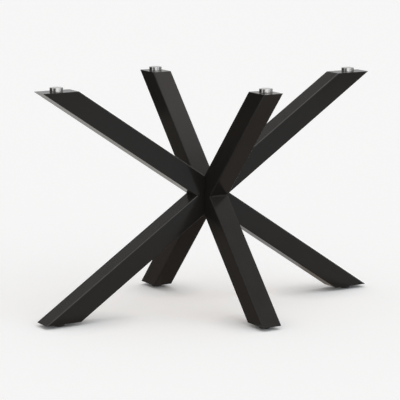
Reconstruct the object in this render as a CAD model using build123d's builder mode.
from build123d import *
from math import asin, atan2, cos, degrees, hypot, sin, tan
import os

# Crossed-tube table base: a long X and a short X of square steel tube, both upright, that meet at one centre.
# Origin on the floor under the centre, +X along the long X, +Y along the short X, +Z up. Millimetres.

# Square tube
tube = 65.0
wall = 2.0
tube_corner = 3.0

# Frame: height between the level cuts, and spacing of the cut ends' centres along each X
rise = 687.0
long_spread = 1022.0
short_spread = 656.0

# Plates that close the tube mouths, flush with the cuts
plate_thickness = 5.0

# Turned discs that carry the table top, with the studs and nuts that hold them
disc_diameter = 39.0
disc_height = 12.0
disc_edge = 0.8
disc_foot_edge = 0.4
stud_thread = 10.0
stud_in_disc = 8.0
stud_past_nut = 5.0
disc_nut_flats = 17.0
disc_nut_height = 8.0

# Feet, with the screws and nuts that hold them
foot_diameter = 32.0
foot_height = 11.0
foot_floor_edge = 1.5
foot_top_edge = 0.6
screw_thread = 6.0
screw_head_diameter = 10.0
screw_head_height = 4.0
screw_head_edge = 0.8
screw_socket_flats = 4.0
screw_socket_depth = 2.2
screw_recess = 2.0
screw_past_nut = 4.0
foot_nut_flats = 10.0
foot_nut_height = 5.0

# Lead-in at thread ends, and clearances around threads, in the plates' holes and round the screw heads
thread_lead = 0.8
thread_clearance = 0.05
hole_clearance = 0.5
head_clearance = 0.75

# Sizes that follow
bore = tube - 2 * wall
bore_corner = tube_corner - wall
top_cut = foot_height + rise
mid = foot_height + rise / 2
top_face = top_cut + disc_height

# The long tubes cross at the centre. Their upper edges leave a notch, as wide as the tube at this height
# over the centre.
long_angle = atan2(rise, long_spread)
notch_height = tube / 2 / cos(long_angle) + tube / 2 * tan(long_angle)

# Each short arm's inner edges meet the corners of that notch, so its centre line passes beside the centre.
inner_run = short_spread / 2 - tube / 2
inner_rise = rise / 2 - notch_height
short_angle = atan2(inner_rise, inner_run) + asin(tube / 2 / hypot(inner_run, inner_rise))
short_aim = short_spread / 2 - rise / 2 / tan(short_angle)

# Arm lengths from the centre to the cuts, and what is left over at each end for the cuts
long_arm = hypot(long_spread / 2, rise / 2)
short_arm = hypot(short_spread / 2 - short_aim, rise / 2)
long_spare = tube / tan(long_angle)
short_spare = tube / tan(short_angle)

# The four ends of the frame: side name, and direction from the centre in plan
ends = {"left": (-1, 0), "right": (1, 0), "back": (0, 1), "front": (0, -1)}


def end_point(side, height):
    """Point on the axis of the disc and the foot at one end, at a height over the floor."""
    x, y = ends[side]
    return (x * long_spread / 2, y * short_spread / 2, height)


def end_planes(height):
    """Level planes at the four ends, at a height over the floor."""
    return [Plane(origin=end_point(side, height)) for side in ends]


def arm_plane(side, climb):
    """Section plane of an arm at the centre, facing outwards. climb is 1 for an upper arm, -1 for a lower one."""
    x, y = ends[side]
    angle = long_angle if x else short_angle
    along = (x * cos(angle), y * cos(angle), climb * sin(angle))
    return Plane(origin=(0, y * short_aim, mid), x_dir=(y, -x, 0), z_dir=along)


def tube_section():
    """Square tube, in the open sketch."""
    RectangleRounded(tube, tube, tube_corner)
    RectangleRounded(bore, bore, bore_corner, mode=Mode.SUBTRACT)


def keep_between(low, high):
    """Cuts the open part level at two heights."""
    split(bisect_by=Plane.XY.offset(low), keep=Keep.TOP)
    split(bisect_by=Plane.XY.offset(high), keep=Keep.BOTTOM)


def cope_over(plane):
    """Cuts the open part to fit over a long tube that crosses the centre."""
    with BuildSketch(plane) as envelope:
        RectangleRounded(tube, tube, tube_corner)
    extrude(envelope.sketch, amount=long_arm, both=True, mode=Mode.SUBTRACT)


def save(piece, name):
    """Labels a finished piece and writes it."""
    piece.part.label = name
    export_step(piece.part, f"parts/{name}.step")


os.makedirs("parts", exist_ok=True)
falling = arm_plane("right", -1)
rising = arm_plane("right", 1)

# Long through tube, from the left top to the right foot
with BuildPart() as long_through_tube:
    with BuildSketch(falling):
        tube_section()
    extrude(amount=long_arm + long_spare, both=True)
    keep_between(foot_height, top_cut)
save(long_through_tube, "long_through_tube")

# Long arms, welded onto the through tube from above and from below
with BuildPart() as long_upper_arm:
    with BuildSketch(rising):
        tube_section()
    extrude(amount=long_arm + long_spare)
    keep_between(foot_height, top_cut)
    cope_over(falling)
save(long_upper_arm, "long_upper_arm")

with BuildPart() as long_lower_arm:
    with BuildSketch(arm_plane("left", -1)):
        tube_section()
    extrude(amount=long_arm + long_spare)
    keep_between(foot_height, top_cut)
    cope_over(falling)
save(long_lower_arm, "long_lower_arm")

# Short arms: mitred to each other at mid height and coped into the notch of the long X
for side in ("back", "front"):
    with BuildPart() as short_upper_arm:
        with BuildSketch(arm_plane(side, 1).offset(-short_spare)):
            tube_section()
        extrude(amount=short_arm + 2 * short_spare)
        keep_between(mid, top_cut)
        cope_over(falling)
        cope_over(rising)
    save(short_upper_arm, f"short_upper_arm_{side}")

    with BuildPart() as short_lower_arm:
        with BuildSketch(arm_plane(side, -1).offset(-short_spare)):
            tube_section()
        extrude(amount=short_arm + 2 * short_spare)
        keep_between(foot_height, mid)
        cope_over(falling)
        cope_over(rising)
    save(short_lower_arm, f"short_lower_arm_{side}")

# End plates: they fill the tube's bore between the cut and one plate thickness inside it
for side in ends:
    arm = long_arm + long_spare if ends[side][0] else short_arm + short_spare
    with BuildPart() as top_plate:
        with BuildSketch(arm_plane(side, 1)):
            RectangleRounded(bore, bore, bore_corner)
        extrude(amount=arm)
        keep_between(top_cut - plate_thickness, top_cut)
        with Locations(end_point(side, top_cut)):
            Hole(stud_thread / 2 + hole_clearance)
    save(top_plate, f"top_plate_{side}")

    with BuildPart() as foot_plate:
        with BuildSketch(arm_plane(side, -1)):
            RectangleRounded(bore, bore, bore_corner)
        extrude(amount=arm)
        keep_between(foot_height, foot_height + plate_thickness)
        with Locations(end_point(side, foot_height + plate_thickness)):
            Hole(screw_thread / 2 + hole_clearance)
    save(foot_plate, f"foot_plate_{side}")

# Turned discs, each with a blind hole for its stud
for side in ends:
    with BuildPart() as top_disc:
        with BuildSketch(Plane(origin=end_point(side, top_cut))):
            Circle(disc_diameter / 2)
        extrude(amount=disc_height)
        chamfer(top_disc.edges().group_by(Axis.Z)[-1], length=disc_edge)
        chamfer(top_disc.edges().group_by(Axis.Z)[0], length=disc_foot_edge)
        with BuildSketch(Plane(origin=end_point(side, top_cut))):
            Circle(stud_thread / 2 + thread_clearance)
        extrude(amount=stud_in_disc, mode=Mode.SUBTRACT)
    save(top_disc, f"top_disc_{side}")

# Studs: from the end of the disc's hole, down through plate and nut
stud_low = top_cut - plate_thickness - disc_nut_height - stud_past_nut
with BuildPart() as disc_studs:
    with BuildSketch(*end_planes(stud_low)):
        Circle(stud_thread / 2)
    extrude(amount=top_cut + stud_in_disc - stud_low)
    chamfer(disc_studs.edges().filter_by(GeomType.CIRCLE), length=thread_lead)
save(disc_studs, "disc_studs")

# Nuts welded under the top plates
with BuildPart() as disc_nuts:
    with BuildSketch(*end_planes(top_cut - plate_thickness)):
        RegularPolygon(disc_nut_flats / 2, side_count=6, major_radius=False)
        Circle(stud_thread / 2 + thread_clearance, mode=Mode.SUBTRACT)
    extrude(amount=-disc_nut_height)
save(disc_nuts, "disc_nuts")

# Feet, recessed from below for their screws
screw_seat = screw_recess + screw_head_height
for side in ends:
    with BuildPart() as foot:
        with BuildSketch(Plane(origin=end_point(side, 0))):
            Circle(foot_diameter / 2)
        extrude(amount=foot_height)
        chamfer(foot.edges().group_by(Axis.Z)[0], length=foot_floor_edge)
        chamfer(foot.edges().group_by(Axis.Z)[-1], length=foot_top_edge)
        with Locations(Plane(origin=end_point(side, 0), z_dir=(0, 0, -1))):
            CounterBoreHole(
                screw_thread / 2 + hole_clearance,
                screw_head_diameter / 2 + head_clearance,
                screw_seat,
            )
    save(foot, f"foot_{side}")

# Foot screws: socket heads in the feet's recesses, shanks up through plate and nut
shank_top = foot_height + plate_thickness + foot_nut_height + screw_past_nut
with BuildPart() as foot_screws:
    with BuildSketch(*end_planes(screw_recess)):
        Circle(screw_head_diameter / 2)
    extrude(amount=screw_head_height)
    chamfer(foot_screws.edges().group_by(Axis.Z)[0], length=screw_head_edge)
    with BuildSketch(*end_planes(screw_recess)):
        RegularPolygon(screw_socket_flats / 2, side_count=6, major_radius=False)
    extrude(amount=screw_socket_depth, mode=Mode.SUBTRACT)
    with BuildSketch(*end_planes(screw_seat)):
        Circle(screw_thread / 2)
    extrude(amount=shank_top - screw_seat)
    chamfer(foot_screws.edges().group_by(Axis.Z)[-1], length=thread_lead)
save(foot_screws, "foot_screws")

# Nuts welded onto the foot plates
with BuildPart() as foot_nuts:
    with BuildSketch(*end_planes(foot_height + plate_thickness)):
        RegularPolygon(foot_nut_flats / 2, side_count=6, major_radius=False)
        Circle(screw_thread / 2 + thread_clearance, mode=Mode.SUBTRACT)
    extrude(amount=foot_nut_height)
save(foot_nuts, "foot_nuts")

print(f"long tubes {degrees(long_angle):.2f} deg, short arms {degrees(short_angle):.2f} deg to the floor")
print(f"short arms aim {short_aim:.2f} mm beside the centre, discs carry the top at {top_face:.1f} mm")
